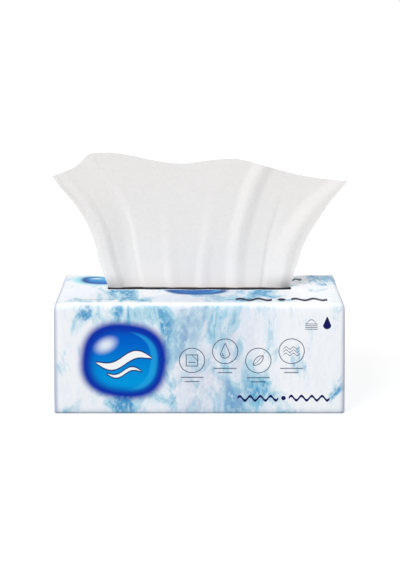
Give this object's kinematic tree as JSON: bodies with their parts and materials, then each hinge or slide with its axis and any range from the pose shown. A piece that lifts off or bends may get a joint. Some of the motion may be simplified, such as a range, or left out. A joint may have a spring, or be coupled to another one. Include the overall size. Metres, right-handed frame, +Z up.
{
  "type": "soft film pack of interfolded paper towels",
  "caption": "Box-shaped film pack of interfolded soft paper towels, torn open along its top slot, with one towel pulled half out and standing as a fan.",
  "frame": {"origin": "centre of the flat underside that the pack stands on", "axes": "+X along the pack's length, +Y from its front to its back, +Z up out of the slot"},
  "size_m": [0.2218, 0.1088, 0.1883],
  "materials": {
    "printed_film": "gloss_plastic",
    "soft_paper": "paper"
  },
  "bodies": {
    "root": {"film_wrapper": "printed_film", "towel_stack": "soft_paper", "next_towel": "soft_paper", "raised_towel": "soft_paper"}
  },
  "joints": []
}
